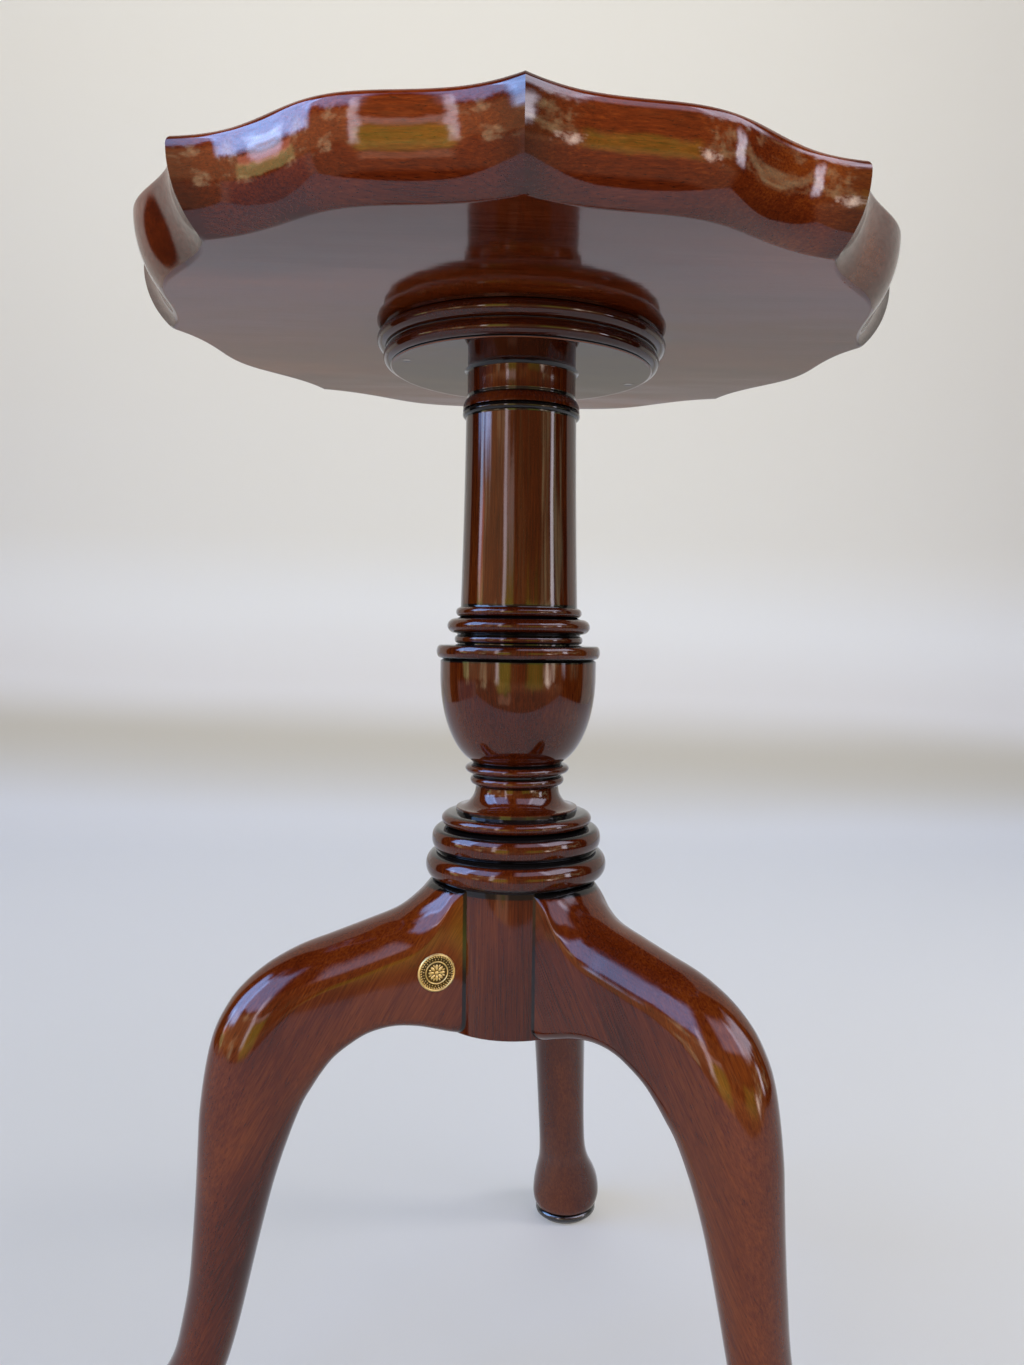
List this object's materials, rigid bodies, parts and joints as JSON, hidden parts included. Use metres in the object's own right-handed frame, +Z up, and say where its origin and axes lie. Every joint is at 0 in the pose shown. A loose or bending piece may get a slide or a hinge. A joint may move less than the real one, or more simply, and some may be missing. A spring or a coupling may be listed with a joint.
{
  "type": "tripod wine table",
  "caption": "Pedestal wine table: scalloped tray top on a turned block and pillar, with a tripod of cabriole legs on black pad feet.",
  "frame": {"origin": "on the floor, on the pillar's axis, under the middle of the top", "axes": "+Z up along the pillar; -Y is the front, which one cusp of the scalloped top faces; +X to the viewer's right"},
  "size_m": [0.414, 0.4151, 0.643],
  "materials": {
    "mahogany": "high gloss lacquer",
    "black_lacquer": "black gloss lacquer",
    "felt": "matt felt",
    "screw_steel": "zinc plated",
    "brace_iron": "satin black",
    "brass": "polished with dark recesses"
  },
  "bodies": {
    "root": {"top_panel": "mahogany", "top_block": "mahogany", "block_screws": "screw_steel", "screw_pellets": "mahogany", "pillar": "mahogany", "tenon_wedge": "mahogany", "leg_left": "mahogany", "leg_right": "mahogany", "leg_rear": "mahogany", "shoe_left": "black_lacquer", "shoe_right": "black_lacquer", "shoe_rear": "black_lacquer", "glide_left": "felt", "glide_right": "felt", "glide_rear": "felt", "shoe_screws": "screw_steel", "brace_plate": "brace_iron", "brace_center_screw": "screw_steel", "brace_arm_screws": "screw_steel", "badge": "brass", "badge_pin": "brass"}
  },
  "joints": []
}
